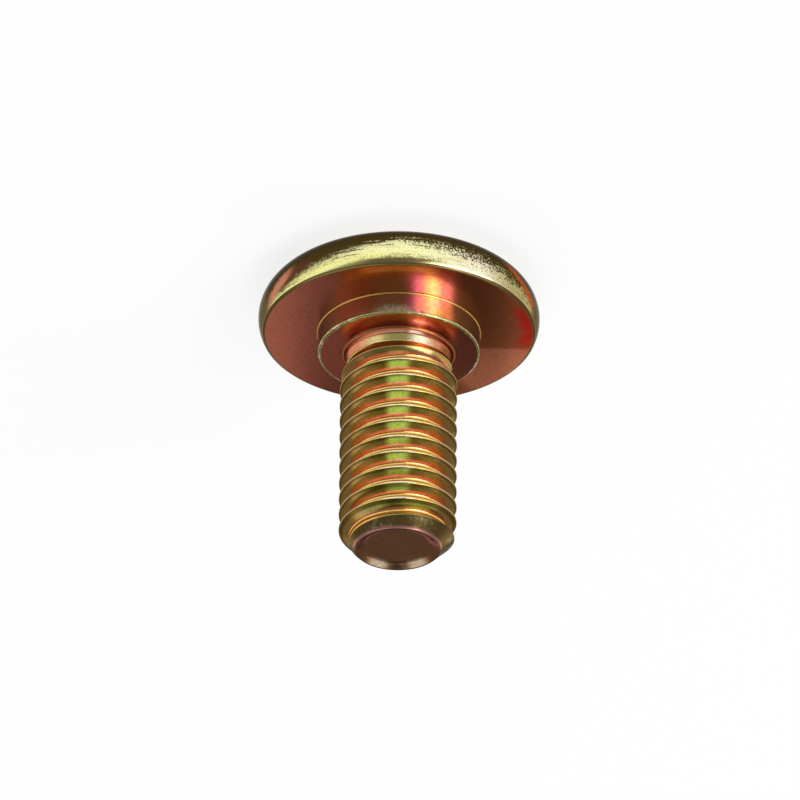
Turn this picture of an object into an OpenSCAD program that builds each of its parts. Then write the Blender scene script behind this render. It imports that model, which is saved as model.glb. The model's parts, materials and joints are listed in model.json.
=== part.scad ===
// Six-lobe socket shoulder bolt with a low round head, standing on its head.
// The axis is +Z: the flat top of the head is at z = 0 and the threaded end points up.

/* [Head] */
// Largest diameter of the head, round the rim
head_d = 23.8; // [21:0.1:28]
// Height of the head, from its flat top to the seat under it
head_h = 4.2; // [3.6:0.1:5.2]
// Radius of the rounded rim
rim_r = 2.8; // [2.3:0.1:3.4]

/* [Drive socket] */
// Diameter across the tips of the six lobes
drive_d = 8.95; // [8.3:0.05:9.6]
// Diameter of the circle that touches the six ridges between the lobes
drive_core_d = 6.45; // [6.1:0.05:6.9]
// Radius of the round tip of each lobe
lobe_tip_r = 0.75; // [0.6:0.05:0.9]
// Depth of the straight walls of the socket
drive_depth = 4.5; // [3.6:0.1:5]
// Diameter of the cone in the floor of the socket
drive_cone_d = 5.8; // [4:0.1:6]
// Depth of the cone in the floor of the socket
drive_cone_h = 0.7; // [0.3:0.1:1]
// Width of the bevel round the mouth of the socket
drive_bevel = 0.3; // [0.1:0.05:0.6]

/* [Shoulder] */
// Diameter of the plain shoulder under the head
shoulder_d = 13.7; // [12:0.1:17]
// Length of the shoulder
shoulder_h = 2; // [1.4:0.1:4]
// Radius of the rounded outer edge of the shoulder
shoulder_edge_r = 0.2; // [0.1:0.05:0.5]
// Radius of the fillet between the shoulder and the seat under the head
seat_fillet_r = 0.12; // [0.05:0.01:0.4]

/* [Thread] */
// Nominal diameter of the thread
thread_d = 10; // [9.5:0.1:11]
// Pitch of the right-hand thread
thread_pitch = 1.5; // [1:0.25:1.75]
// How far the crest diameter stays under the nominal diameter
thread_allowance = 0.1; // [0:0.01:0.25]
// Length from the face of the shoulder to the end of the bolt
shank_l = 19; // [12:0.5:40]
// Length of the plain neck between the shoulder and the thread
neck_l = 1.35; // [0.9:0.05:4]
// Radius of the fillet between the neck and the shoulder
neck_fillet_r = 0.5; // [0.2:0.05:0.8]
// Length over which the thread rises out of the neck
runout_l = 1.2; // [0.6:0.1:3]
// Angle round the axis at which a crest leaves the neck
thread_start_deg = 187; // [0:1:359]

/* [End] */
// Diameter of the end, inside its bevel
end_d = 7.1; // [6.6:0.1:7.6]
// Slope of the bevel round the end, from the axis
end_bevel_deg = 45; // [30:1:60]
// Diameter of the floor of the shallow dish in the end
dish_d = 5.6; // [4:0.1:6.2]
// Depth of the dish in the end
dish_depth = 0.43; // [0.1:0.01:0.8]

/* [Hidden] */
$fn = 96;
// How far a cutter passes the face that it cuts
cut = 0.1;

// The rim is an arc about rim_c, from the flat top of the head round to the seat
rim_c = head_d / 2 - rim_r;
shoulder_r = shoulder_d / 2;
shoulder_top = head_h + shoulder_h;

// Socket: the arcs of the ridges are tangent to the arcs of the lobes
lobes = 6;
lobe_step = 360 / lobes;
lobe_c = drive_d / 2 - lobe_tip_r;
core_r = drive_core_d / 2;
lobe_reach = lobe_c * cos(lobe_step / 2);
ridge_r = (pow(lobe_c, 2) + pow(core_r, 2) - 2 * core_r * lobe_reach - pow(lobe_tip_r, 2))
  / (2 * (lobe_tip_r + lobe_reach - core_r));
ridge_c = core_r + ridge_r;
// Direction from the centre of a lobe to the centre of the ridge beside it
ridge_deg = atan2(ridge_c * sin(lobe_step / 2), ridge_c * cos(lobe_step / 2) - lobe_c);

// Metric thread form: flanks at 30 degrees, and depths as shares of the height of the sharp V.
// The neck has the pitch diameter, as the blank of a rolled thread has.
flank_deg = 30;
sharp_h = thread_pitch / 2 / tan(flank_deg);
thread_depth = 17 / 24 * sharp_h;
crest_r = (thread_d - thread_allowance) / 2;
root_r = crest_r - thread_depth;
neck_r = crest_r - 3 / 8 * sharp_h;
crest_flat = thread_pitch / 8;
flank_run = thread_depth * tan(flank_deg);

// One pitch of the thread as rows: [height above the first edge of the crest, radius]
form = [
  [0, crest_r],
  [crest_flat, crest_r],
  [crest_flat + flank_run, root_r],
  [thread_pitch - flank_run, root_r]
];
turn_rows = len(form);

// The skin of the shank has this many sides, and each row of it climbs one pitch a turn.
// Heights on the shank are from the face of the shoulder.
sides = 36;
first_z = neck_l - thread_pitch * (1 + thread_start_deg / 360);
rows = turn_rows * ceil((shank_l - first_z) / thread_pitch + 1);

function row_z(i, j) = first_z + form[j % turn_rows][0] + thread_pitch * (floor(j / turn_rows) + i / sides);

// The thread rises out of the neck, and the bevel cuts it at the end
function rise(z) = min(1, max(0, (z - neck_l) / runout_l));
function bevel_r(z) = end_d / 2 + (shank_l - z) * tan(end_bevel_deg);
function row_r(j, z) = min(bevel_r(z), neck_r + (form[j % turn_rows][1] - neck_r) * rise(z));

function polar(r, i, z) = [r * cos(360 * i / sides), r * sin(360 * i / sides), z];
function thread_point(i, j) = let (z = min(shank_l, max(neck_l, row_z(i, j)))) polar(row_r(j, z), i, z);

// On each side, rows that start below the neck's end or pass the bolt's end fold onto one point there
function low_row(i, j = 0) = row_z(i, j + 1) > neck_l ? j : low_row(i, j + 1);
function high_row(i, j = 0) = row_z(i, j) >= shank_l ? j : high_row(i, j + 1);
low_rows = [for (i = [0:sides - 1]) low_row(i)];
high_rows = [for (i = [0:sides - 1]) high_row(i)];

// Places in the list of points. The seam joins the last side to the first, one pitch up.
function thread_id(i, j) = i == sides
  ? thread_id(0, j + turn_rows)
  : i * (rows + 1) + min(high_rows[i], max(low_rows[i], j));
function low_id(i) = thread_id(i % sides, 0);
function high_id(i) = thread_id(i % sides, rows);

// Plain rings, [radius, height]: from inside the shoulder up the fillet, and the floor of the dish
fillet_rings = 4;
foot_ring = [neck_r + neck_fillet_r, -shoulder_h / 4];
function fillet_ring(a) = [neck_r + neck_fillet_r * (1 - sin(a)), neck_fillet_r * (1 - cos(a))];
dish_ring = [dish_d / 2, shank_l - dish_depth];
rings = concat(
  [foot_ring],
  [for (k = [0:fillet_rings]) fillet_ring(90 * k / fillet_rings)],
  [dish_ring]
);
dish_k = len(rings) - 1;
neck_k = dish_k - 1;
function ring_id(k, i) = sides * (rows + 1 + k) + i % sides;
centre_id = ring_id(len(rings), 0);

function quad(a, b, c, d) = [[a, c, b], [a, d, c]];
function distinct(f) = f[0] != f[1] && f[1] != f[2] && f[2] != f[0];

// Outlines to be revolved, in [radius, height]
module head_outline() {
  square([rim_c, head_h]);
  intersection() {
    translate([rim_c, rim_r]) circle(rim_r);
    translate([rim_c, 0]) square([rim_r, head_h]);
  }
}

module shoulder_outline() {
  square([shoulder_r, shoulder_h - shoulder_edge_r]);
  square([shoulder_r - shoulder_edge_r, shoulder_h]);
  translate([shoulder_r - shoulder_edge_r, shoulder_h - shoulder_edge_r]) circle(shoulder_edge_r);
  translate([shoulder_r, 0]) difference() {
    square(seat_fillet_r);
    translate([seat_fillet_r, seat_fillet_r]) circle(seat_fillet_r);
  }
}

// Six-lobe outline: a core through the tangent points, with round lobes added and round ridges cut
module drive_outline() {
  tangent_points = [
    for (k = [1:lobes], side = [-1, 1])
      let (a = lobe_step * k, b = a + side * ridge_deg)
        [lobe_c * cos(a) + lobe_tip_r * cos(b), lobe_c * sin(a) + lobe_tip_r * sin(b)]
  ];
  difference() {
    union() {
      polygon(tangent_points);
      for (k = [1:lobes]) rotate(lobe_step * k) translate([lobe_c, 0]) circle(lobe_tip_r);
    }
    for (k = [1:lobes]) rotate(lobe_step * (k + 1 / 2)) translate([ridge_c, 0]) circle(ridge_r);
  }
}

// Cutter for the punched drive: lobed walls, a cone in the floor and a bevel round the mouth
module drive_socket() {
  translate([0, 0, -cut]) linear_extrude(drive_depth + cut) drive_outline();
  translate([0, 0, drive_depth]) cylinder(h = drive_cone_h, r1 = drive_cone_d / 2, r2 = 0);
  translate([0, 0, -cut])
    cylinder(h = drive_bevel + cut, r1 = drive_d / 2 + drive_bevel + cut, r2 = drive_d / 2);
}

// Forged head and shoulder, with the drive punched into the flat top
module head() {
  difference() {
    rotate_extrude() {
      head_outline();
      translate([0, head_h]) shoulder_outline();
    }
    drive_socket();
  }
}

// Neck, rolled thread, bevelled end and dish as one closed skin that stands in the shoulder
module shank() {
  points = concat(
    [for (i = [0:sides - 1], j = [0:rows]) thread_point(i, j)],
    [for (ring = rings, i = [0:sides - 1]) polar(ring[0], i, ring[1])],
    [[0, 0, dish_ring[1]]]
  );
  foot = [[for (i = [0:sides - 1]) ring_id(0, i)]];
  skin = [
    for (i = [0:sides - 1]) each concat(
      [for (k = [0:neck_k - 1]) each
        quad(ring_id(k, i), ring_id(k, i + 1), ring_id(k + 1, i + 1), ring_id(k + 1, i))],
      quad(ring_id(neck_k, i), ring_id(neck_k, i + 1), low_id(i + 1), low_id(i)),
      [for (j = [0:rows - 1]) each
        quad(thread_id(i, j), thread_id(i + 1, j), thread_id(i + 1, j + 1), thread_id(i, j + 1))],
      quad(high_id(i), high_id(i + 1), ring_id(dish_k, i + 1), ring_id(dish_k, i)),
      [[ring_id(dish_k, i), centre_id, ring_id(dish_k, i + 1)]]
    )
  ];
  translate([0, 0, shoulder_top])
    polyhedron(points, concat(foot, [for (f = skin) if (distinct(f)) f]));
}

module bolt() color([0.66, 0.5, 0.2]) {
  head();
  shank();
}

bolt();
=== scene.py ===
# %% [markdown]
# A six-lobe socket shoulder bolt: a low round head, a short plain shoulder and a rolled metric thread, all
# forged from one piece of steel and then plated with zinc in a yellow chromate bath. The measured solid
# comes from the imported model, and this lesson builds a finer skin over it and gives it its finish.
# All places are in metres, in the frame of that solid: the bolt stands on its head with the thread up.

# %% load the measured solid
import json
import math
from itertools import pairwise

import bpy
from mathutils import Matrix, Quaternion, Vector


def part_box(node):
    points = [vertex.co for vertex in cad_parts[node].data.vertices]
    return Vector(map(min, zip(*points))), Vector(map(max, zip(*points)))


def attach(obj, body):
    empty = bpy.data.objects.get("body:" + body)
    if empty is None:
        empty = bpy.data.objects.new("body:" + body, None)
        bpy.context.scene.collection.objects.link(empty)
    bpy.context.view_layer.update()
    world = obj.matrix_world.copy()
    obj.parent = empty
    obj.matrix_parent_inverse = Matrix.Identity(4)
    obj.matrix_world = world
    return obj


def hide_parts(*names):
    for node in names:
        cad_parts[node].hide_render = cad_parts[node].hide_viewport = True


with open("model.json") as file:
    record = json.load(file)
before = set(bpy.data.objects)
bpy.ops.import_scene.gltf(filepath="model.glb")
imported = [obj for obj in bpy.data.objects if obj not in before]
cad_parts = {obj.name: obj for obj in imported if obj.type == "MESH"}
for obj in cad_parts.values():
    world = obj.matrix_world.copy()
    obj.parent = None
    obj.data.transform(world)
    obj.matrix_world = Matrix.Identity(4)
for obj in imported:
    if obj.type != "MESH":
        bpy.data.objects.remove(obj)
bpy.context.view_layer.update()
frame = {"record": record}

mm = 0.001
lowest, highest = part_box("bolt")
print("solid:", [round((b - a) / mm, 2) for a, b in zip(lowest, highest)], "mm")

# %% [markdown]
# The main sizes are taken from the solid itself, so the skin can't drift away from it: its box gives the
# head and the whole length, and the mounts of its record give the seat and the shoulder. The small radii
# that a forged and plated edge has are this lesson's own, and they all lie inside the solid's box.

# %% sizes
mounts = {mount["name"]: mount for mount in frame["record"]["mounts"]}
shoulder_l = 2 * mm
rim_r = 2.8 * mm

head_r = (highest.x - lowest.x) / 2
tip_z = highest.z
seat_z = mounts["seat"]["pos_m"][2]
shoulder_r = mounts["shoulder"]["dims"]["r_mm"] * mm
shoulder_z = seat_z + shoulder_l
widths = [round(2 * r / mm, 1) for r in (head_r, shoulder_r)]
print("head and shoulder:", widths, "mm wide, tip at", round(tip_z / mm, 1), "mm")

# %% [markdown]
# Everything here is made on a lathe or a thread roller, so one skin can be swept round the axis: rings of
# points, one above the other, joined by four-sided faces. An outline is a list of corners, each with the
# radius of its edge. A helper swaps a corner for an arc and puts a ring close to each end of that arc,
# which keeps smooth shading from bleeding into the flat faces beside it.

# %% outlines with rounded corners
hold = 0.05 * mm


def arc(centre, radius, start_deg, end_deg, steps):
    """Points on an arc in the plane of radius and height."""
    turns = [math.radians(start_deg + (end_deg - start_deg) * k / steps) for k in range(steps + 1)]
    return [centre + radius * Vector((math.cos(a), math.sin(a))) for a in turns]


def rounded(corners, steps=6, margin=hold):
    """Points along corners (radius, height, edge radius), with every edge radius made as an arc."""
    outline = [Vector(corners[0][:2])]
    for before, corner, after in zip(corners, corners[1:], corners[2:]):
        here, radius = Vector(corner[:2]), corner[2]
        back = (Vector(before[:2]) - here).normalized()
        on = (Vector(after[:2]) - here).normalized()
        half = back.angle(on) / 2
        reach = radius / math.tan(half)
        centre = here + (back + on).normalized() * radius / math.sin(half)
        first, last = here + back * reach - centre, here + on * reach - centre
        turn = first.angle_signed(last)
        outline.append(here + back * (reach + margin))
        outline += [centre + first @ Matrix.Rotation(turn * k / steps, 2) for k in range(steps + 1)]
        outline.append(here + on * (reach + margin))
    return outline + [Vector(corners[-1][:2])]


print("a rounded corner has", len(rounded([(0, 0), (1, 0, 0.5), (1, 1)])) - 2, "points")

# %% [markdown]
# Points and faces are gathered in two plain lists. Each ring is stored as the numbers of its points, so two
# neighbouring rings can be bridged whatever shape they have. A ring may be round, or its radius may change
# with the angle, as it does in the six-lobe socket.

# %% rings and bridges
sides = 204
angles = [math.tau * i / sides for i in range(sides)]
points, faces = [], []


def point(radius, angle, height):
    points.append((radius * math.cos(angle), radius * math.sin(angle), height))
    return len(points) - 1


def ring(radius, height):
    """One ring of points. The radius is a number, or a function of the angle."""
    radius_at = radius if callable(radius) else lambda angle: radius
    return [point(radius_at(angle), angle, height) for angle in angles]


def bridge(rings):
    """Faces between each ring and the next one. A ring of one point closes the skin in a fan."""
    for lower, upper in pairwise(rings):
        for i in range(sides):
            corners = [lower[i % len(lower)], lower[(i + 1) % len(lower)]]
            corners += [upper[(i + 1) % len(upper)], upper[i % len(upper)]]
            faces.append(tuple(dict.fromkeys(corners)))


print(sides, "sides, one every", round(360 / sides, 2), "degrees")

# %% [markdown]
# The drive in the top of the head is punched cold. Its outline is two kinds of arc, round lobes and round
# ridges, that meet without a corner. Written as a radius for each angle, that outline becomes a ring like
# any other. The punch leaves a soft edge, straight walls and a shallow cone in the floor.

# %% six-lobe outline
lobe_step = math.tau / 6
drive_r = 4.475 * mm
core_r = 3.225 * mm
lobe_tip_r = 0.75 * mm

lobe_c = drive_r - lobe_tip_r
lobe_reach = lobe_c * math.cos(lobe_step / 2)
ridge_room = 2 * (lobe_tip_r + lobe_reach - core_r)
ridge_r = (lobe_c**2 + core_r**2 - 2 * core_r * lobe_reach - lobe_tip_r**2) / ridge_room
ridge_c = core_r + ridge_r
ridge_angle = math.atan2(ridge_c * math.sin(lobe_step / 2), ridge_c * math.cos(lobe_step / 2) - lobe_c)
meet_angle = math.atan2(lobe_tip_r * math.sin(ridge_angle), lobe_c + lobe_tip_r * math.cos(ridge_angle))


def lobed(angle):
    """Radius of the socket's wall at an angle round the axis."""
    off_lobe = abs((angle + lobe_step / 2) % lobe_step - lobe_step / 2)
    if off_lobe < meet_angle:
        return lobe_c * math.cos(off_lobe) + math.sqrt(lobe_tip_r**2 - (lobe_c * math.sin(off_lobe)) ** 2)
    off_ridge = lobe_step / 2 - off_lobe
    return ridge_c * math.cos(off_ridge) - math.sqrt(ridge_r**2 - (ridge_c * math.sin(off_ridge)) ** 2)


print("ridges of radius", round(ridge_r / mm, 2), "mm between lobes of", lobe_tip_r / mm, "mm")

# %% [markdown]
# The rings of the socket run from the tip of the cone out to the wall, and down the wall to the bevel at
# the mouth. Where the bevel meets the ridges it leaves small flat tops, so the soft edge is as wide as the
# ridge is low.

# %% six-lobe socket
drive_depth = 4.5 * mm
drive_cone_r = 2.9 * mm
drive_cone_h = 0.7 * mm
drive_bevel = 0.3 * mm
drive_edge = 0.05 * mm
drive_floor_r = 0.15 * mm
soft_share = 0.3


def ridge_top(share):
    """Radius on the flat tops of the ridges, this share of the soft edge outside the wall."""
    return lambda angle: lobed(angle) + share * drive_edge * min(1, (drive_r - lobed(angle)) / drive_bevel)


def inside(gap):
    """Radius on the socket's floor, this far inside its wall."""
    return lambda angle: lobed(angle) - gap


socket_rings = [
    [point(0, 0, drive_depth + drive_cone_h)],
    ring(drive_cone_r - hold, drive_depth + hold * drive_cone_h / drive_cone_r),
    ring(drive_cone_r + hold, drive_depth),
    ring(inside(drive_floor_r), drive_depth),
    ring(inside(soft_share * drive_floor_r), drive_depth - soft_share * drive_floor_r),
    ring(lobed, drive_depth - drive_floor_r),
    ring(lobed, drive_depth / 2),
    ring(lobed, drive_bevel + drive_edge),
    ring(ridge_top(soft_share), drive_bevel + soft_share * drive_edge),
    ring(ridge_top(1), drive_bevel),
    ring(drive_r + drive_edge / 2, drive_bevel - drive_edge / 2),
    ring(drive_r + drive_edge, drive_bevel - drive_edge),
]
print("socket:", len(socket_rings), "rings,", drive_depth / mm, "mm deep")

# %% [markdown]
# Head, shoulder and neck are one turned outline. It starts at the mouth of the socket, crosses the flat
# top, goes round the big arc of the rim to the seat, and climbs over the shoulder into the neck. The neck
# has a short foot that leans in, and above it a shallow hollow. Every corner is rounded, because a plated
# edge is never sharp and the thin bright line along it is what tells the eye that this is metal.

# %% head, shoulder and neck
pitch = 1.5 * mm
crest_r = 4.95 * mm
flank_deg = 30
sharp_h = pitch / 2 / math.tan(math.radians(flank_deg))
pitch_line_depth = 3 / 8 * sharp_h
neck_r = crest_r - pitch_line_depth
neck_l = 1.35 * mm
neck_z = shoulder_z + neck_l
seat_edge_r = 0.4 * mm
seat_fillet_r = 0.12 * mm
shoulder_edge_r = 0.2 * mm
neck_fillet_r = 0.25 * mm
foot_r = neck_r + 0.19 * mm
foot_top_r = neck_r + 0.07 * mm
foot_z = shoulder_z + 0.52 * mm
foot_edge_r = 0.06 * mm
hollow_r = neck_r - 0.2 * mm
hollow_z = shoulder_z + 1.22 * mm
hollow_round_r = 0.1 * mm

rim_c = Vector((head_r - rim_r, rim_r))
rim_end = math.asin((seat_z - rim_r) / rim_r)
seat_edge = rim_c + rim_r * Vector((math.cos(rim_end), math.sin(rim_end)))
edge_room_deg = 8
rim_stop_deg = math.degrees(rim_end) - edge_room_deg

mouth = rounded([
    (drive_r + drive_edge, drive_bevel - drive_edge),
    (drive_r + drive_bevel, 0, drive_edge),
    (rim_c.x - hold, 0),
])[1:]
rim = arc(rim_c, rim_r, -90, rim_stop_deg, steps=28)
under_head = rounded([
    tuple(rim[-1]),
    (*seat_edge, seat_edge_r),
    (shoulder_r, seat_z, seat_fillet_r),
    (shoulder_r, shoulder_z, shoulder_edge_r),
    (foot_r, shoulder_z, neck_fillet_r),
    (foot_top_r, foot_z, foot_edge_r),
    (hollow_r, hollow_z, hollow_round_r),
    (neck_r, neck_z - hold),
], steps=8)[1:]

head_rings = [ring(r, z) for r, z in mouth + rim + under_head]
bridge(socket_rings + head_rings)
print("head, shoulder and neck:", len(head_rings), "rings")

# %% [markdown]
# The thread could be swept by a Screw modifier, but that leaves the run-out and the bevelled end to be
# mended by hand. Here each row of points climbs one pitch a turn, so that the edges follow the helix. One
# pitch of the form is drawn as a rounded outline: a narrow crest that rolling has left round, flanks at
# thirty degrees and a full round root.

# %% thread form
crest_half = pitch / 16
crest_edge_r = 0.12 * mm
root_round_r = pitch / 4 / math.sqrt(3)
sharp_depth = 7 / 8 * sharp_h
form_hold = 0.02 * mm

form = [
    (z, r) for r, z in rounded([
        (crest_r, 0),
        (crest_r, crest_half, crest_edge_r),
        (crest_r - sharp_depth, pitch / 2, root_round_r),
        (crest_r, pitch - crest_half, crest_edge_r),
        (crest_r, pitch),
    ], margin=form_hold)
][:-1]
turn_rows = len(form)
root_r = min(r for z, r in form)
print("one pitch of the thread:", turn_rows, "rows, root at", round(root_r / mm, 3), "mm")

# %% [markdown]
# The helix starts where the solid's helix does, so both threads lie on each other. A rolled thread rises
# out of the neck over less than a turn, and the bevel at the end is the chamfer of the blank. Rows that
# would start below the neck or pass the end fold onto one point there.

# %% thread rows
runout = 1.2 * mm
thread_start_deg = 187
end_r = 3.55 * mm
end_edge_r = 0.15 * mm
end_z = tip_z - end_edge_r
first_z = neck_z - pitch * (1 + thread_start_deg / 360) + crest_half
row_count = turn_rows * math.ceil((tip_z - first_z) / pitch + 1)


def row_height(i, j):
    return first_z + form[j % turn_rows][0] + pitch * (j // turn_rows + i / sides)


def row_radius(j, z):
    rise = min(1, max(0, (z - neck_z) / runout))
    bevel = end_r + (tip_z - z)
    return min(bevel, neck_r + (form[j % turn_rows][1] - neck_r) * rise)


def thread_column(i):
    """The row that the lowest point on one side of the thread lies on, and the points up that side."""
    low_row = next(j for j in range(row_count) if row_height(i, j + 1) > neck_z)
    high_row = next(j for j in range(row_count) if row_height(i, j) >= end_z)
    column = []
    for j in range(low_row, high_row + 1):
        z = min(end_z, max(neck_z, row_height(i, j)))
        column.append(point(row_radius(j, z), angles[i], z))
    return low_row, column


columns = [thread_column(i) for i in range(sides)]
print("thread:", round((end_z - neck_z) / pitch, 1), "turns")

# %% [markdown]
# Two neighbouring columns are joined row by row. Round the back the last column meets the first one a whole
# pitch higher, which is all that makes it a screw and not a stack of rings.

# %% thread faces
def thread_point(i, j):
    if i == sides:
        return thread_point(0, j + turn_rows)
    low_row, column = columns[i]
    return column[min(len(column) - 1, max(0, j - low_row))]


for i in range(sides):
    for j in range(row_count):
        corners = [thread_point(i, j), thread_point(i + 1, j)]
        corners += [thread_point(i + 1, j + 1), thread_point(i, j + 1)]
        face = tuple(dict.fromkeys(corners))
        if len(face) > 2:
            faces.append(face)

thread_foot = [column[0] for low_row, column in columns]
thread_end = [column[-1] for low_row, column in columns]
bridge([head_rings[-1], thread_foot])
print("faces so far:", len(faces))

# %% [markdown]
# The end of the bolt is a bevel, a narrow rolled lip and a shallow dish. Rolling pushes the skin of the
# blank towards the end and the middle stays behind, so the dish is never quite round: its floor is drawn
# in by a few long waves, each given by its number round the dish, its depth in millimetres and its start.

# %% end of the bolt
dish_r = 2.8 * mm
dish_middle_r = dish_r / 5
dish_depth = 0.43 * mm
dish_z = tip_z - dish_depth
dish_fillet_r = 1.2 * mm
dish_waves = [(6, 0.07, 0.3), (2, 0.05, 1.1), (5, 0.03, 2.0)]


def dished(radius):
    """Radius with the waves of the dish, which die out at its lip."""
    share = min(1, (end_r - radius) / (end_r - dish_r)) * radius / dish_r

    def waved(angle):
        waves = sum(depth * math.cos(count * angle + begin) for count, depth, begin in dish_waves)
        return radius - share * waves * mm

    return waved


end_outline = rounded([
    (end_r + end_edge_r, end_z),
    (end_r, tip_z, end_edge_r),
    (dish_r, dish_z, dish_fillet_r),
    (dish_middle_r, dish_z),
])[1:]
lip_rings = [ring(r if r > end_r - end_edge_r else dished(r), z) for r, z in end_outline]
bridge([thread_end] + lip_rings + [[point(0, 0, dish_z)]])
print("end:", len(lip_rings), "rings from the bevel to the middle of the dish")

# %% [markdown]
# The lists become one mesh, which stands in for the solid. It rides on the part's only body. Counting the
# faces at each edge shows that the skin is closed.

# %% one skin
mesh = bpy.data.meshes.new("bolt_skin")
mesh.from_pydata(points, [], faces)
mesh.validate(verbose=True)
mesh.shade_smooth()
bolt = bpy.data.objects.new("bolt_skin", mesh)
bpy.context.scene.collection.objects.link(bolt)
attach(bolt, "root")
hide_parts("bolt")

edge_uses = {}
for polygon in mesh.polygons:
    for key in polygon.edge_keys:
        edge_uses[key] = edge_uses.get(key, 0) + 1
print(len(mesh.polygons), "faces,", sum(uses != 2 for uses in edge_uses.values()), "open edges")

# %% [markdown]
# The finish is made of nodes, and their sums are easier to read as arithmetic. This small class wraps one
# output of a node. Adding or multiplying two of them adds a Math node, and any other node comes from its
# one method, which takes the kind of node, its settings and what goes into its sockets.

# %% shader arithmetic
class Wire:
    """One output of a node in a shader."""

    def __init__(self, tree, socket=None):
        self.tree = tree
        self.socket = socket

    def node(self, kind, settings=None, inputs=None, out=0):
        """Adds a node with its settings and its inputs, and returns one of its outputs."""
        made = self.tree.nodes.new("ShaderNode" + kind)
        for name, value in (settings or {}).items():
            setattr(made, name, value)
        for name, value in (inputs or {}).items():
            if isinstance(value, Wire):
                value.feed(made.inputs[name])
            else:
                made.inputs[name].default_value = value
        return Wire(self.tree, made.outputs[out])

    def feed(self, socket):
        """Links this output to a socket of a node that is already there."""
        self.tree.links.new(self.socket, socket)

    def axis(self, letter):
        """One coordinate of a vector."""
        return self.node("SeparateXYZ", None, {0: self}, out=letter)

    def math(self, operation, first, second):
        """A Math node on two values."""
        return self.node("Math", {"operation": operation}, {0: first, 1: second})

    def __add__(self, other):
        return self.math("ADD", self, other)

    def __sub__(self, other):
        return self.math("SUBTRACT", self, other)

    def __rsub__(self, other):
        return self.math("SUBTRACT", other, self)

    def __mul__(self, other):
        return self.math("MULTIPLY", self, other)

    def __truediv__(self, other):
        return self.math("DIVIDE", self, other)

    def __rtruediv__(self, other):
        return self.math("DIVIDE", other, self)

    __radd__ = __add__
    __rmul__ = __mul__


print("shader arithmetic ready")

# %% [markdown]
# A few helpers say most of what a film of colour needs: a colour written the way it reads on a screen, a
# soft step, a mix of two colours, and random patches of a given size. Added to a place, a swing of such a
# pattern makes the edge of a soft step ragged.

# %% shader helpers
def shade(*levels):
    """A colour written as it reads on a screen, from 0 to 255, by the curve that screens use."""
    return tuple(((level / 255 + 0.055) / 1.055) ** 2.4 for level in levels) + (1,)


def fade(value, start, end):
    """0 before start and 1 after end, with a soft step between them."""
    limits = {"From Min": start, "From Max": end}
    return value.node("MapRange", {"interpolation_type": "SMOOTHSTEP"}, {"Value": value, **limits})


def blend(share, first, second, way="MIX"):
    """The first colour where share is 0, and the second, or their product, where it is 1."""
    factor, colour_a, colour_b, colour_out = 0, 6, 7, 2
    settings = {"data_type": "RGBA", "blend_type": way}
    inputs = {factor: share, colour_a: first, colour_b: second}
    return share.node("Mix", settings, inputs, out=colour_out)


def mottle(place, size_mm, seed, detail=3):
    """Random patches of about this size, from 0 to 1."""
    settings = {"noise_dimensions": "4D"}
    inputs = {"Vector": place, "W": seed, "Scale": 1 / size_mm, "Detail": detail, "Roughness": 0.6}
    return place.node("TexNoise", settings, inputs)


def swing(pattern, size):
    """A pattern from 0 to 1, turned into a swing of this size about zero."""
    return size * (pattern - 0.5)


def size_of(value):
    """The value without its sign."""
    return value.math("ABSOLUTE", value, 0)


print("pale gold is", [round(level, 2) for level in shade(249, 245, 170)[:3]], "to the renderer")

# %% [markdown]
# Yellow zinc is a clear chromate film on bright metal. Where it is thin it reads as pale gold, and as it
# thickens it turns olive, green, rose and red, like oil on water. A photographed texture would be flat and
# wrong from other sides, so the film here follows the form: every colour is chosen by the place on the
# bolt, measured in millimetres from its axis and its head, and by the way the surface faces.

# %% places on the bolt
zinc = bpy.data.materials.new("yellow_zinc")
zinc.use_nodes = True
surface = zinc.node_tree.nodes["Principled BSDF"]
start = Wire(zinc.node_tree)

place_m = start.node("TexCoord", out="Object")
place = place_m.node("VectorMath", {"operation": "SCALE"}, {0: place_m, "Scale": 1 / mm})
place_x, place_y, height = (place.axis(letter) for letter in "XYZ")
across = place.node("VectorMath", {"operation": "MULTIPLY"}, {0: place, 1: (1, 1, 0)})
radius = across.node("VectorMath", {"operation": "LENGTH"}, {0: across}, out="Value")
turn_deg = place_y.math("ARCTAN2", place_y, place_x) / math.radians(1)

outward = across.node("VectorMath", {"operation": "NORMALIZE"}, {0: across})
side = outward.axis("X")
side_share = size_of(side)
facing_y = outward.axis("Y")
near_side = fade(facing_y, 0.25, -0.3)
tilt = start.node("TexCoord", out="Normal").axis("Z")

seat_h, face_h, foot_h, neck_h, tip_h = (z / mm for z in (seat_z, shoulder_z, foot_z, neck_z, tip_z))
print("heights in mm:", [round(h, 2) for h in (seat_h, face_h, foot_h, neck_h, tip_h)])

# %% [markdown]
# A film is never even. Four random patterns, from clouds of three millimetres to grain of a tenth, break up
# its colours and their edges. Two more helpers mark a slanting streak round the rim and a band up the bolt.

# %% patterns and marks
cloud = mottle(place, 3.2, seed=1)
blot = mottle(place, 1.1, seed=2)
speck = mottle(place, 0.3, seed=3, detail=4)
grain = mottle(place, 0.13, seed=5, detail=2)


def streak(from_deg, to_deg, from_mm, to_mm, half_mm):
    """1 along a slanting line round the rim, given by two angles and two heights, with ragged edges."""
    along = (turn_deg - from_deg) / (to_deg - from_deg)
    off = size_of(height - from_mm - (to_mm - from_mm) * along) / half_mm
    ends = fade(along, -0.2, 0.25) * fade(along, 1.2, 0.75)
    return ends * fade(off + swing(speck, 1.5) + swing(blot, 1), 1.3, 0.3)


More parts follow.
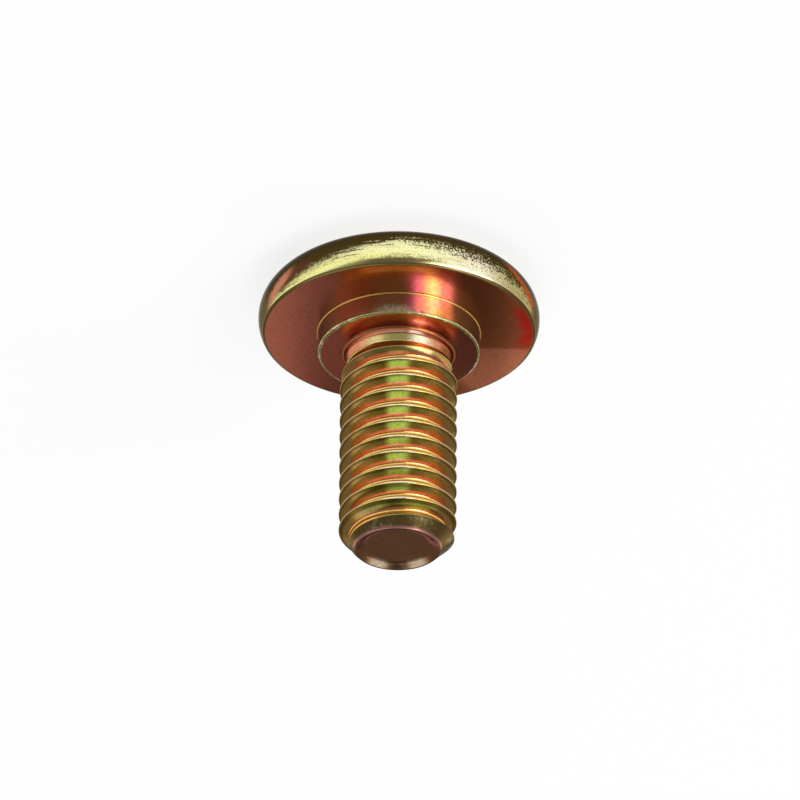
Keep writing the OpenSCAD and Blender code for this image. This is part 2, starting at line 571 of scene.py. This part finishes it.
def band(angle_deg, half_width_deg):
    """1 on a band of this half width up the bolt, at this angle round the axis."""
    angle = math.radians(angle_deg)
    inputs = {0: outward, 1: (math.cos(angle), math.sin(angle), 0)}
    along = outward.node("VectorMath", {"operation": "DOT_PRODUCT"}, inputs, out="Value")
    outer, inner = (math.cos(math.radians(share * half_width_deg)) for share in (1.6, 0.4))
    return fade(along, outer, inner)


print("four patterns, and", len(zinc.node_tree.nodes), "nodes so far")

# %% [markdown]
# The rim was rounded in the heading die and shows the skin of the blank. Its gold is yellower on one side
# and creamier on the other, with fine khaki lines that run round the head; a noise that is stretched along
# the angle draws those lines. Towards one end the gold is painted khaki, a painted shade that dims the
# paper mirrored there.

# %% gold of the rim
gold = shade(255, 253, 190)
lemon = shade(250, 246, 162)
cream = shade(252, 244, 210)
khaki = shade(190, 174, 116)
line_long_deg = 14
line_wide_mm = 0.22

line_place = height.node("CombineXYZ", None, {0: turn_deg / line_long_deg, 1: height / line_wide_mm})
line_inputs = {"Vector": line_place, "Scale": 1, "Detail": 3}
brushed = height.node("TexNoise", {"noise_dimensions": "2D"}, line_inputs)

rim_film = blend(fade(side, -0.15, -0.6), gold, cream)
rim_film = blend(fade(side, -0.3, 0.2) * fade(tilt, 0, 0.2), rim_film, lemon)
# painted shade: khaki towards one end dims the mirrored paper
rim_film = blend(fade(side, -0.55, -0.82), rim_film, khaki)
rim_film = blend(0.5 * fade(brushed + swing(speck, 0.5), 0.52, 0.75), rim_film, khaki)
print("rim: gold, lemon and cream, with khaki lines")

# %% [markdown]
# The lower edge of the rim, where it meets the paper, is painted dark: a painted shadow that stands for the
# shadow under the head mirrored in the rim. It runs up at the sides and breaks into fine specks where it
# ends. Near the two ends of this face run streaks of maroon, salmon and ember. Beside the seat the gold
# goes over into olive and a darker line runs along the seat's edge, both painted shade, and the two ends
# of the rim are olive.

# %% painted shadow, painted shade and streaks on the rim
painted_shadow_bronze = shade(72, 57, 26)
maroon = shade(96, 56, 38)
salmon = shade(214, 136, 108)
ember = shade(206, 88, 34)
end_olive = shade(112, 94, 54)
rim_shade_olive = shade(160, 138, 84)
seat_edge_shade = shade(150, 124, 76)
painted_shadow_bronze_drop = 0.28
painted_shadow_bronze_rise = 0.66
painted_shadow_bronze_lean = 0.12

salt = 0.5 + 1.3 * fade(side, 0.1, -0.4)
ragged = swing(speck, 0.4) + swing(brushed, 0.6) + salt * swing(grain, 1)
# painted shadow: the head's shadow on the paper, as the rim mirrors it, painted as a dark band
above_painted_shadow_bronze = tilt + painted_shadow_bronze_drop - painted_shadow_bronze_rise * side_share - painted_shadow_bronze_lean * side + ragged
painted_shadow_bronze_soft = 0.09 + 0.18 * side_share
rim_film = blend(fade(above_painted_shadow_bronze / painted_shadow_bronze_soft, 1, -1), rim_film, painted_shadow_bronze)
rim_film = blend(0.8 * streak(-34, -50, 3.3, 2.7, 0.6), rim_film, maroon)
rim_film = blend(0.85 * streak(-20, -40, 3.85, 2.6, 0.5), rim_film, salmon)
rim_film = blend(0.9 * streak(-141, -164, 1.8, 3.7, 0.4), rim_film, ember)
rim_film = blend(fade(side, 0.91, 0.97), rim_film, end_olive)
rim_film = blend(fade(side, -0.94, -0.98), rim_film, end_olive)
# painted shade: olive beside the seat and a darker line along the seat's edge
shade_beside_seat = fade(side_share, 0.45, 0.15) * fade(tilt + 0.5 * ragged, 0.22, 0.36)
rim_film = blend(0.85 * shade_beside_seat, rim_film, rim_shade_olive)
rim_film = blend(fade(tilt, 0.5, 0.75), rim_film, seat_edge_shade)
print("rim: bronze, olive and warm streaks")

# %% [markdown]
# The top of the head lay against the punch, so its skin is smooth, and clouds of rose and green stand in
# its gold. In the socket the gold turns to umber towards the bottom. This side is under the bolt as it
# stands, but a part in a library is turned over and looked at.

# %% film on the top of the head
top_gold = shade(232, 214, 140)
top_rose = shade(208, 136, 100)
top_green = shade(168, 176, 96)
socket_gold = shade(222, 198, 120)
socket_umber = shade(128, 92, 52)
mouth_mm = (drive_r + drive_bevel) / mm

fine = swing(speck, 0.1)
on_top = fade(tilt + fine, -0.7, -0.9) * fade(height, 1, 0.7)
top_cloud = mottle(place, 9, seed=7, detail=1) + fine
top_film = blend(0.6 * fade(top_cloud, 0.5, 0.68), top_gold, top_rose)
top_film = blend(0.6 * fade(top_cloud, 0.5, 0.34), top_film, top_green)
socket_film = blend(fade(height + swing(blot, 1.2), 0.6, 4), socket_gold, socket_umber)
head_film = blend(on_top, rim_film, top_film)
head_film = blend(fade(radius, mouth_mm + 0.075, mouth_mm - 0.025), head_film, socket_film)
print("top of the head: gold, rose and green, and umber in the socket")

# %% [markdown]
# The seat was turned, and the film on it is thicker: rose on one half and brown on the other, with crimson
# spots beside the rim. The brown half is darker partly as painted shade. Where the key lamp's streak shows,
# a painted highlight crosses the seat, pink with an amber core, and the shoulder above carries the same
# painted highlight; the two surfaces mirror each other and their tints multiply. A paler band along the
# near edge is a painted highlight, and a lighter far corner is a painted reflection.

# %% film on the seat
rose = shade(206, 118, 95)
brown = shade(182, 104, 68)
crimson = shade(228, 58, 44)
seat_reflection_clay = shade(232, 140, 104)
seat_highlight_pink = shade(212, 108, 106)
seat_highlight_amber = shade(216, 120, 98)
seat_edge_highlight = shade(222, 150, 112)
seat_flat_mm = 11.3
painted_highlight_x = -2.75

# where the painted highlights and the painted reflection lie; the crimson spots are film
off_painted_highlight = place_x - painted_highlight_x
painted_highlight = near_side * fade(size_of(off_painted_highlight), 2.6, 1.5)
painted_highlight_core = near_side * fade(size_of(off_painted_highlight) + swing(speck, 0.8), 1.1, 0.3)
near_edge_highlight = near_side * fade(radius, seat_flat_mm - 1.1, seat_flat_mm - 0.8) * fade(side_share, 0.36, 0.22)
painted_reflection_corner = fade(side, -0.5, -0.62) * fade(place_y + swing(blot, 0.8), 2.1, 2.6)
spots = band(-174, 15) * fade(radius + swing(blot, 3), seat_flat_mm - 1.7, seat_flat_mm - 0.4)
# rose and a brown half that is partly painted shade, then the painted highlights and painted reflection
seat_film = blend(fade(side + swing(cloud, 0.3), 0.35, 0.65), brown, rose)
seat_film = blend(painted_highlight, seat_film, seat_highlight_pink)
seat_film = blend(painted_highlight_core, seat_film, seat_highlight_amber)
seat_film = blend(near_edge_highlight, seat_film, seat_edge_highlight)
seat_film = blend(painted_reflection_corner, seat_film, seat_reflection_clay)
seat_film = blend(spots, seat_film, crimson)

on_seat = fade(radius, seat_flat_mm + 0.03, seat_flat_mm - 0.03) * fade(height, seat_h - 0.1, seat_h - 0.05)
film = blend(on_seat, head_film, seat_film)
print("seat: rose, brown and crimson")

# %% [markdown]
# The wall of the shoulder holds a thinner film than the seat, and its rounded corners the thinnest, so the
# fillet and the edge stay pale. Where the key lamp's streak runs down the wall, it is painted as a
# highlight in pink, amber and straw. One corner was scuffed when the bolt was handled. The film is broken
# there and the bare metal has dulled.

# %% film on the shoulder
wall_olive = shade(226, 232, 200)
wall_highlight_pink = shade(226, 196, 208)
wall_highlight_straw = shade(246, 255, 186)
wall_highlight_amber = shade(240, 246, 180)
wall_red = shade(248, 208, 172)
edge_olive = shade(172, 160, 106)
edge_cream = shade(240, 226, 184)
fillet_gold = shade(236, 196, 104)
scuff = shade(168, 144, 98)
scuff_x = 0.35

wall_film = blend(fade(side, 0.2, 0.4) * fade(side, 0.85, 0.7), wall_olive, wall_red)
# painted highlight along the key lamp's streak
wall_film = blend(painted_highlight, wall_film, wall_highlight_pink)
wall_film = blend(0.5 * painted_highlight * fade(off_painted_highlight, 0, -0.6), wall_film, wall_highlight_amber)
wall_film = blend(painted_highlight_core, wall_film, wall_highlight_straw)
edge_film = blend(fade(blot + swing(speck, 0.6), 0.5, 0.62), edge_olive, edge_cream)
wall_film = blend(fade(height + swing(speck, 0.9), face_h - 0.36, face_h - 0.14), wall_film, edge_film)
scuff_height = height + swing(speck, 1.2) + swing(grain, 1)
scuffed = near_side * fade(size_of(place_x - scuff_x), 2.3, 0.4) * fade(height, face_h, face_h - 0.08)
scuffed = 0.75 * scuffed * fade(scuff_height, face_h - 1, face_h - 0.1)
wall_film = blend(scuffed, wall_film, scuff)

film = blend(fade(height, seat_h, seat_h + 0.02), film, fillet_gold)
film = blend(fade(height, seat_h + 0.1, seat_h + 0.16), film, wall_film)
print("shoulder: straw and olive, with one scuffed corner")

# %% [markdown]
# The flat face of the shoulder is rose and brown like the seat, with a painted red highlight where the key
# lamp's streak crosses it. The neck above it is the bare blank of the thread, drawn smooth before rolling,
# and it is painted as reflection: a darker olive in the middle, cream highlights beside it, pink highlights
# round to its sides and umber at one side. Its foot is painted the same way in tan, cream, pink and umber,
# between two thin brown lines of painted shade, which lie in the fillet and along the foot's top edge.

# %% film on the face and the neck
face_rose = shade(218, 120, 98)
face_brown = shade(204, 114, 88)
face_highlight_red = shade(255, 146, 130)
foot_shade_brown = shade(178, 108, 70)
foot_tan = shade(176, 128, 106)
foot_highlight_cream = shade(255, 222, 204)
neck_shade_olive = shade(226, 214, 134)
neck_highlight_cream = shade(255, 246, 214)
neck_straw = shade(224, 202, 140)
neck_highlight_pink = shade(214, 140, 104)
neck_umber = shade(150, 90, 50)
face_mm = shoulder_r / mm
fillet_mm = (foot_r + neck_fillet_r) / mm

face_film = blend(fade(side, 0.85, 0.35), face_rose, face_brown)
# painted highlight where the key lamp's streak crosses the face
face_film = blend(painted_highlight * fade(radius, face_mm - 0.65, face_mm - 1.25), face_film, face_highlight_red)
# painted reflection across the neck and its foot: a darker middle, highlights to the sides
neck_side = side + swing(blot, 0.25)
foot_film = blend(fade(neck_side, 0.5, 0.2), neck_highlight_pink, foot_tan)
foot_film = blend(fade(neck_side, -0.1, -0.24), foot_film, foot_highlight_cream)
foot_film = blend(fade(neck_side, -0.36, -0.55), foot_film, neck_umber)
neck_film = blend(fade(neck_side, 0.22, 0.48), neck_shade_olive, neck_straw)
neck_film = blend(fade(neck_side, 0.48, 0.8), neck_film, neck_highlight_pink)
neck_film = blend(fade(neck_side, -0.14, -0.34), neck_film, neck_highlight_cream)
neck_film = blend(fade(neck_side, -0.44, -0.7), neck_film, neck_highlight_pink)
neck_film = blend(fade(neck_side, -0.7, -0.9), neck_film, neck_umber)

on_face = fade(height, face_h - 0.06, face_h - 0.01) * fade(radius, face_mm - 0.23, face_mm - 0.3)
# painted shade: thin brown lines in the fillet and along the foot's top edge
shaded_fillet = fade(height, face_h - 0.05, face_h - 0.01) * fade(radius, fillet_mm + 0.08, fillet_mm)
film = blend(on_face, film, face_film)
film = blend(shaded_fillet, film, foot_shade_brown)
film = blend(fade(height, face_h + 0.22, face_h + 0.3), film, foot_film)
film = blend(fade(height, foot_h - 0.04, foot_h - 0.01), film, foot_shade_brown)
film = blend(fade(height, foot_h + 0.06, foot_h + 0.12), film, neck_film)
print("face and neck: rose, olive, cream and pink")

# %% [markdown]
# Rolling stretches the skin of a thread more at the root than at the crest, and the film takes a different
# tint with it. Down each flank it goes from olive to red, and the round root is orange gold. A band up the
# near side is painted greener and paler: a painted highlight, a column of light mirrored in the flanks.

# %% film on the flanks and in the root
flank_olive = shade(164, 150, 92)
flank_brown = shade(204, 176, 120)
highlight_leaf = shade(214, 228, 146)
last_leaf = shade(150, 148, 70)
root_red = shade(236, 154, 142)
highlight_salmon = shade(252, 208, 198)
red_line = shade(232, 148, 128)
back_tan = shade(244, 198, 150)


def lines(along, per_mm, detail):
    """Random lines across one direction, from 0 to 1."""
    inputs = {"W": along, "Scale": per_mm, "Detail": detail}
    return along.node("TexNoise", {"noise_dimensions": "1D"}, inputs)


depth = (radius - root_r / mm) / ((crest_r - root_r) / mm)
last_turn = fade(height, tip_h - 2.9, tip_h - 2.3)
# painted highlight: a greener, paler band up the near side of the thread
painted_highlight_band = band(-90, 10.5) * fade(lines(height, 0.7, detail=1) + swing(blot, 0.6), 0.1, 0.5)
painted_highlight_band = painted_highlight_band * fade(height, neck_h + 0.85, neck_h + 1.65) * (1 - last_turn)

flank_film = blend(fade(side_share, 0.35, 0.75), flank_olive, flank_brown)
flank_film = blend(painted_highlight_band, flank_film, highlight_leaf)
flank_film = blend(last_turn * band(-90, 34), flank_film, last_leaf)
root_film = blend(painted_highlight_band, root_red, highlight_salmon)
root_film = blend(fade(depth, 0.26, 0.14), root_film, red_line)
root_film = blend(1 - near_side, root_film, back_tan)
on_flank = fade(depth + swing(blot, 0.1) + 0.15 * last_turn, 0.22, 0.44)
thread_film = blend(on_flank, root_film, flank_film)
print("flanks: olive, green and red, with the root at", round(root_r / mm, 2), "mm")

# %% [markdown]
# A cream line follows the helix along the crest: a painted highlight, on top of the real reflection in the
# crest's rounded edge. It is set off by a dark olive edge on the flank beside it, a painted shadow under
# the crest. Round to the sides both lose their contrast. Near the neck the crest has not fully risen, and
# its run-out stays gold and olive.

# %% film on the crests and the run-out
crest_shadow_olive = shade(92, 80, 30)
highlight_band_olive = shade(160, 158, 84)
side_olive = shade(150, 126, 74)
side_umber = shade(246, 230, 194)
root_gold = shade(252, 208, 120)
crest_highlight_cream = shade(254, 242, 190)
crest_gold = shade(212, 182, 102)
crest_brown = shade(180, 152, 104)
runout_olive = shade(136, 108, 52)

round_side = fade(side_share, 0.5, 0.85)
shadow_film = blend(painted_highlight_band, crest_shadow_olive, highlight_band_olive)
shadow_film = blend(round_side, shadow_film, side_olive)
crest_film = blend(fade(side_share, 0.12, 0.4), crest_highlight_cream, crest_gold)
crest_film = blend(round_side, crest_film, crest_brown)

# painted shadow on the flank under each crest
shade_below_crest = fade(depth - 0.08 * painted_highlight_band + 0.2 * last_turn, 0.7, 0.9)
thread_film = blend(shade_below_crest, thread_film, shadow_film)
thread_film = blend(fade(depth, 0.3, 0.2) * fade(tilt, 0.72, 0.4), thread_film, root_gold)
thread_film = blend(round_side, thread_film, side_umber, "MULTIPLY")
# painted highlight along the crest
thread_film = blend(fade(depth, 0.91, 0.97) * fade(tilt, 0.72, 0.45), thread_film, crest_film)
low_crest = fade(height, neck_h + 1.15, neck_h + 0.65) * fade(tilt, 0.55, 0.25)
thread_film = blend(low_crest, thread_film, crest_gold)
low_flank = fade(height, neck_h + 0.6, neck_h + 0.25) * fade(tilt, 0.3, 0.5)
thread_film = blend(low_flank, thread_film, runout_olive)
film = blend(fade(height, neck_h - 0.07, neck_h + 0.07), film, thread_film)
print("crests: cream and gold, fading into the neck")

# %% [markdown]
# The end was sheared and never rolled. Its bevel is dull olive with paler clouds, and its lip is pink on
# the near side and brown on the far side. The dish is brown, and its wall is painted as reflection: painted
# shade in the middle, pale painted highlights at the sides and a rose crescent at each end.

# %% film on the end
bevel_olive = shade(132, 108, 64)
bevel_pale = shade(190, 180, 136)
lip_pink = shade(224, 158, 146)
lip_brown = shade(150, 98, 60)
dish_brown = shade(160, 112, 80)
dish_tan = shade(184, 136, 104)
dish_shade_umber = shade(114, 86, 62)
dish_highlight_pale = shade(206, 184, 156)
dish_highlight_rose = shade(240, 150, 140)
bevel_line = (end_r + tip_z) / mm
end_mm = end_r / mm
dish_mm = dish_r / mm

near_end = fade(height, tip_h - 2.2, tip_h - 1.8)
on_bevel = near_end * fade(radius + height, bevel_line - 0.15, bevel_line - 0.03)
on_lip = fade(height, tip_h - 0.25, tip_h - 0.12)
in_dish = fade(height, tip_h - 0.6, tip_h - 0.55) * fade(radius, end_mm - 0.05, end_mm - 0.15)
# painted shade and painted highlights on the wall of the dish
highlight_crescents = fade(facing_y, -0.02, -0.25) * fade(facing_y, -0.9, -0.7)
painted_dish_wall = blend(fade(side_share, 0.2, 0.45), dish_shade_umber, dish_highlight_pale)
painted_dish_wall = blend(fade(side_share, 0.62, 0.8), painted_dish_wall, dish_brown)
painted_dish_wall = blend(highlight_crescents, painted_dish_wall, dish_highlight_rose)
dish_film = blend(0.5 * fade(speck + swing(cloud, 0.6), 0.5, 0.65), dish_brown, dish_tan)
dish_film = blend(fade(radius, dish_mm - 0.25, dish_mm + 0.1), dish_film, painted_dish_wall)
bevel_film = blend(fade(cloud + swing(speck, 0.6), 0.52, 0.72), bevel_olive, bevel_pale)
film = blend(on_bevel, film, bevel_film)
film = blend(on_lip, film, blend(near_side, lip_brown, lip_pink))
film = blend(in_dish, film, dish_film)
print("end: olive, brown and pink")

# %% [markdown]
# A metal's colour is its reflection, so the film is the Base Color of a full metal, apart from the scuffed
# corner, which is rougher and less of a metal. Fine specks and turned rings change the gloss, and a bump of
# a few thousandths of a millimetre gives the light something to catch. The rim was not turned, and its skin
# is coarser.

# %% gloss and grain
bump_height = 0.003 * mm
bump_strength = 0.6
dust = shade(222, 216, 200)
edge_grey = (0.5, 0.5, 0.5, 1)

rings = lines(radius + height, 7, detail=3)
on_rim = fade(height, seat_h - 0.05, seat_h - 0.3)
dusted = (1 - 0.6 * on_rim) * fade(grain + swing(speck, 0.5), 0.5, 0.7)
film = blend(dusted, film, dust, "MULTIPLY")
gloss = 0.13 + 0.1 * speck + 0.06 * rings + 0.25 * scuffed
metal = 1 - 0.4 * scuffed
relief = (1 + 1.6 * on_rim) * grain + 0.7 * rings + 2 * on_rim * speck
bump_inputs = {"Strength": bump_strength, "Distance": bump_height, "Height": relief}
bumped = relief.node("Bump", None, bump_inputs)

film.feed(surface.inputs["Base Color"])
gloss.feed(surface.inputs["Roughness"])
metal.feed(surface.inputs["Metallic"])
bumped.feed(surface.inputs["Normal"])
surface.inputs["Specular Tint"].default_value = edge_grey
mesh.materials.append(zinc)
print("yellow zinc:", len(zinc.node_tree.nodes), "nodes")

# %% [markdown]
# The bolt stands on white paper under a pale sky that is bright only near the horizon. The paper keeps the
# shadow of the bolt, and for rays that the camera or a reflection sends to it, most of its colour is plain
# white, so that the ground stays white without more light on the metal. It lies a hair below the head, so
# that the two surfaces never fight for the same place.

# %% sky and paper
scene = bpy.context.scene
scene.view_settings.view_transform = "Standard"
white = (1, 1, 1, 1)
sky_grey = (0.25, 0.25, 0.25, 1)
paper_colour = (0.9, 0.9, 0.9, 1)
white_share = 0.82
horizon_white = 0.03
horizon_grey = 0.09
side_lift = 0.4
floor_half = 2
floor_z = -0.02 * mm
square = [(-1, -1), (1, -1), (1, 1), (-1, 1)]


def panel(name, corners, shader_of):
    """A flat piece of the studio, with the shader that a function of its node tree returns."""
    finish = bpy.data.materials.new(name)
    finish.use_nodes = True
    shader = shader_of(Wire(finish.node_tree))
    shader.feed(finish.node_tree.nodes["Material Output"].inputs["Surface"])
    panel_mesh = bpy.data.meshes.new(name)
    panel_mesh.from_pydata(corners, [], [range(len(corners))])
    panel_mesh.materials.append(finish)
    made = bpy.data.objects.new(name, panel_mesh)
    scene.collection.objects.link(made)
    return made


def white_paper(tree):
    """Matt paper that is mostly plain white to the camera and to reflections."""
    seen = tree.node("LightPath", out="Is Camera Ray") + tree.node("LightPath", out="Is Glossy Ray")
    seen = seen + tree.node("LightPath", out="Is Transmission Ray")
    matt = tree.node("BsdfDiffuse", None, {"Color": paper_colour})
    glow = tree.node("Emission", None, {"Color": white})
    return tree.node("MixShader", None, {0: white_share * seen, 1: matt, 2: glow})


world = bpy.data.worlds.new("studio")
world.use_nodes = True
scene.world = world
direction = Wire(world.node_tree).node("TexCoord", out="Generated")
beside = direction.axis("X")
above_horizon = direction.axis("Z") - side_lift * beside * beside
sky = blend(fade(above_horizon, horizon_grey, horizon_white), sky_grey, white)
sky.feed(world.node_tree.nodes["Background"].inputs["Color"])

panel("floor", [(x * floor_half, y * floor_half, floor_z) for x, y in square], white_paper)
print("floor:", 2 * floor_half, "m wide,", white_share, "of its colour plain white")

# %% [markdown]
# Soft boxes stand round the bolt, each given by where it hangs in the sky, how large it looks from the bolt
# and how bright its face is. A wide box beside the camera, with a brighter one in its middle, draws the
# streak down the shoulder. The others light the paper and the face of the shoulder. The box behind the bolt
# is hidden from reflections, so that the rounded edges don't mirror it as a second bright line.

# %% soft boxes
def softbox(name, at_deg, size_deg, brightness, away=0.6):
    """A soft box that faces the bolt. Its azimuth is 0 on the camera's side and grows towards -X."""
    azimuth, elevation = (math.radians(angle) for angle in at_deg)
    level = math.cos(elevation)
    towards = Vector((-math.sin(azimuth) * level, -math.cos(azimuth) * level, math.sin(elevation)))
    lamp = bpy.data.lights.new(name, "AREA")
    lamp.shape = "RECTANGLE"
    lamp.size, lamp.size_y = (2 * away * math.tan(math.radians(angle / 2)) for angle in size_deg)
    lamp.energy = brightness * math.pi * lamp.size * lamp.size_y
    box = bpy.data.objects.new(name, lamp)
    box.location = away * towards
    box.rotation_mode = "QUATERNION"
    box.rotation_quaternion = towards.to_track_quat("Z", "Y")
    box.visible_camera = False
    scene.collection.objects.link(box)
    return box


softbox("key", at_deg=(51, 31), size_deg=(50, 24), brightness=3)
softbox("key_core", at_deg=(50, 31), size_deg=(12, 20), brightness=4.4, away=0.58)
softbox("face_spot", at_deg=(75, 63), size_deg=(14, 14), brightness=3.5)
softbox("top_left", at_deg=(-115, 66), size_deg=(26, 34), brightness=0.65)
softbox("top_right", at_deg=(115, 66), size_deg=(26, 34), brightness=0.65)
behind = softbox("behind", at_deg=(180, 64), size_deg=(50, 24), brightness=4)
behind.visible_glossy = False
print(len(bpy.data.lights), "soft boxes")

# %% [markdown]
# Flat faces under the head mirror one small part of the studio. A dark card hangs there, as a photographer
# would hang it, so that the middle of the seat stays deep brown. It is painted lighter towards its two ends
# and in two patches, which the seat and the face mirror. Only reflections see it.

# %% card behind the bolt
card_y = 28 * mm
card_half_w = 18 * mm
card_half_h = 12.5 * mm
card_z = 21.5 * mm
card_dark = 0.07
low_patch_z = 19.2 * mm
patch_soft = 0.2 * mm


def shaded_card(tree):
    """Dark in the middle, with lighter ends and patches."""
    spot_m = tree.node("TexCoord", out="Object")
    across_m = spot_m.axis("X")
    up_m = spot_m.axis("Z")
    left_half = fade(across_m, -4 * mm, 1 * mm)
    left_end = fade(across_m, 6.3 * mm, 11 * mm)
    right_end = fade(across_m, -8.8 * mm, -10.2 * mm)
    right_half = fade(across_m, -1 * mm, -3 * mm)
    low_patch = right_half * fade(up_m, low_patch_z + patch_soft, low_patch_z - patch_soft)
    high_patch = fade(up_m, 26.1 * mm, 26.6 * mm) * fade(size_of(across_m), 6 * mm, 2.5 * mm)
    level = card_dark + 0.12 * left_half + 0.37 * left_end + 0.32 * right_end
    level = level + 0.3 * low_patch + 0.2 * high_patch
    grey = level.node("CombineColor", None, {0: level, 1: level, 2: level})
    return grey.node("Emission", None, {"Color": grey})


card_corners = [(x * card_half_w, card_y, card_z + z * card_half_h) for x, z in square]
card = panel("shaded_card", card_corners, shaded_card)
card.visible_camera = False
card.visible_diffuse = False
card.visible_transmission = False
card.visible_shadow = False
print("card", round(card_y / mm), "mm behind the axis")

# %% [markdown]
# The camera looks down on the threaded end with a long lens, so that the rings stay close to true ellipses.
# It is turned upside down about its own axis, because the bolt is shown with its head at the top.

# %% camera
view_deg = 30.3
roll_deg = 180.4
camera_away = 1.3
field = 67.4 * mm
aim = Vector((-0.13 * mm, 0, 10.68 * mm))

camera_data = bpy.data.cameras.new("camera")
camera_data.sensor_width = 36
camera_data.lens = camera_data.sensor_width * camera_away / field
camera = bpy.data.objects.new("camera", camera_data)
scene.collection.objects.link(camera)
scene.camera = camera

view = math.radians(view_deg)
back = Vector((0, -math.cos(view), math.sin(view)))
roll = Quaternion((0, 0, 1), math.radians(roll_deg))
camera.location = aim + camera_away * back
camera.rotation_mode = "QUATERNION"
camera.rotation_quaternion = (-back).to_track_quat("-Z", "Y") @ roll
print("camera:", round(camera_data.lens), "mm lens,", camera_away, "m away")
